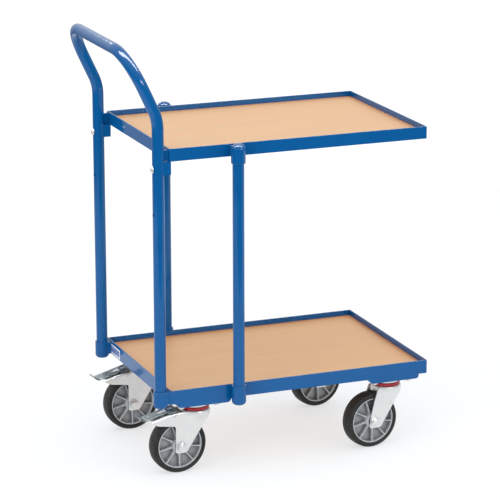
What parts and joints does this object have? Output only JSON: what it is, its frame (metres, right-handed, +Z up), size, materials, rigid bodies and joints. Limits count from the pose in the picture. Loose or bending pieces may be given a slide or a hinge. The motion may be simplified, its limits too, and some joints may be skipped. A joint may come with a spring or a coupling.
{
  "type": "platform trolley",
  "caption": "Two-deck platform trolley: mitred steel angle frames around wooden boards, a cranked tubular push handle, front posts, swivel casters and foot brakes.",
  "frame": {"origin": "on the floor, below the middle of the whole footprint, handle included", "axes": "+X away from the handle, +Y to the pusher's left, +Z up"},
  "size_m": [0.6948, 0.4876, 0.94],
  "materials": {
    "blue_powder_coat": "glossy blue powder coat",
    "beech_board": "satin beech-faced board",
    "zinc_steel": "bright zinc plating",
    "pedal_steel": "polished zinc plating",
    "bearing_steel": "ground steel",
    "grey_rubber": "matt grey rubber",
    "grey_plastic": "moulded grey polypropylene",
    "red_seal": "glossy red plastic"
  },
  "bodies": {
    "chassis": {"caster_pad_front_left": "blue_powder_coat", "caster_pad_front_right": "blue_powder_coat", "caster_pad_rear_left": "blue_powder_coat", "caster_pad_rear_right": "blue_powder_coat", "handle_tube": "blue_powder_coat", "kingpins": "zinc_steel", "leg_socket_left": "blue_powder_coat", "leg_socket_right": "blue_powder_coat", "lower_board": "beech_board", "lower_rail_front": "blue_powder_coat", "lower_rail_left": "blue_powder_coat", "lower_rail_rear": "blue_powder_coat", "lower_rail_right": "blue_powder_coat", "plate_bolts": "zinc_steel", "plate_nuts": "zinc_steel", "post_foot_left": "blue_powder_coat", "post_foot_right": "blue_powder_coat", "post_head_left": "blue_powder_coat", "post_head_right": "blue_powder_coat", "post_left": "blue_powder_coat", "post_right": "blue_powder_coat", "shelf_bolts": "zinc_steel", "shelf_bracket_left": "blue_powder_coat", "shelf_bracket_right": "blue_powder_coat", "swivel_balls": "bearing_steel", "swivel_seals": "red_seal", "top_plate_front_left": "zinc_steel", "top_plate_front_right": "zinc_steel", "top_plate_rear_left": "zinc_steel", "top_plate_rear_right": "zinc_steel", "upper_board": "beech_board", "upper_rail_front": "blue_powder_coat", "upper_rail_left": "blue_powder_coat", "upper_rail_rear": "blue_powder_coat", "upper_rail_right": "blue_powder_coat"},
    "swivel_front_left": {"axle_bolt_front_left": "zinc_steel", "fork_front_left": "zinc_steel"},
    "swivel_front_right": {"axle_bolt_front_right": "zinc_steel", "fork_front_right": "zinc_steel"},
    "swivel_rear_left": {"axle_bolt_rear_left": "zinc_steel", "brake_pin_rear_left": "zinc_steel", "fork_rear_left": "zinc_steel"},
    "swivel_rear_right": {"axle_bolt_rear_right": "zinc_steel", "brake_pin_rear_right": "zinc_steel", "fork_rear_right": "zinc_steel"},
    "wheel_front_left": {"bearing_front_left": "bearing_steel", "rim_front_left": "grey_plastic", "tyre_front_left": "grey_rubber"},
    "wheel_front_right": {"bearing_front_right": "bearing_steel", "rim_front_right": "grey_plastic", "tyre_front_right": "grey_rubber"},
    "wheel_rear_left": {"bearing_rear_left": "bearing_steel", "rim_rear_left": "grey_plastic", "tyre_rear_left": "grey_rubber"},
    "wheel_rear_right": {"bearing_rear_right": "bearing_steel", "rim_rear_right": "grey_plastic", "tyre_rear_right": "grey_rubber"},
    "pedal_rear_left": {"brake_pedal_rear_left": "pedal_steel"},
    "pedal_rear_right": {"brake_pedal_rear_right": "pedal_steel"}
  },
  "joints": [
    {"name": "swivel_rear_left", "type": "hinge", "parent": "chassis", "child": "swivel_rear_left", "pos_m": [-0.1786, 0.1555, 0.1398], "axis": [0, 0, 1], "continuous": true},
    {"name": "wheel_spin_rear_left", "type": "hinge", "parent": "swivel_rear_left", "child": "wheel_rear_left", "pos_m": [-0.2195, 0.15264, 0.0625], "axis": [-0.0698, 0.9976, 0], "continuous": true},
    {"name": "brake_pedal_rear_left", "type": "hinge", "parent": "swivel_rear_left", "child": "pedal_rear_left", "pos_m": [-0.23117, 0.15182, 0.13], "axis": [0.0698, -0.9976, 0], "range_deg": [0, 12]},
    {"name": "swivel_rear_right", "type": "hinge", "parent": "chassis", "child": "swivel_rear_right", "pos_m": [-0.1786, -0.1555, 0.1398], "axis": [0, 0, 1], "continuous": true},
    {"name": "wheel_spin_rear_right", "type": "hinge", "parent": "swivel_rear_right", "child": "wheel_rear_right", "pos_m": [-0.2195, -0.15836, 0.0625], "axis": [-0.0698, 0.9976, 0], "continuous": true},
    {"name": "brake_pedal_rear_right", "type": "hinge", "parent": "swivel_rear_right", "child": "pedal_rear_right", "pos_m": [-0.23117, -0.15918, 0.13], "axis": [0.0698, -0.9976, 0], "range_deg": [0, 12]},
    {"name": "swivel_front_left", "type": "hinge", "parent": "chassis", "child": "swivel_front_left", "pos_m": [0.2734, 0.1555, 0.1398], "axis": [0, 0, 1], "continuous": true},
    {"name": "wheel_spin_front_left", "type": "hinge", "parent": "swivel_front_left", "child": "wheel_front_left", "pos_m": [0.23302, 0.14838, 0.0625], "axis": [-0.1736, 0.9848, 0], "continuous": true},
    {"name": "swivel_front_right", "type": "hinge", "parent": "chassis", "child": "swivel_front_right", "pos_m": [0.2734, -0.1555, 0.1398], "axis": [0, 0, 1], "continuous": true},
    {"name": "wheel_spin_front_right", "type": "hinge", "parent": "swivel_front_right", "child": "wheel_front_right", "pos_m": [0.23271, -0.1605, 0.0625], "axis": [-0.1219, 0.9925, 0], "continuous": true}
  ]
}
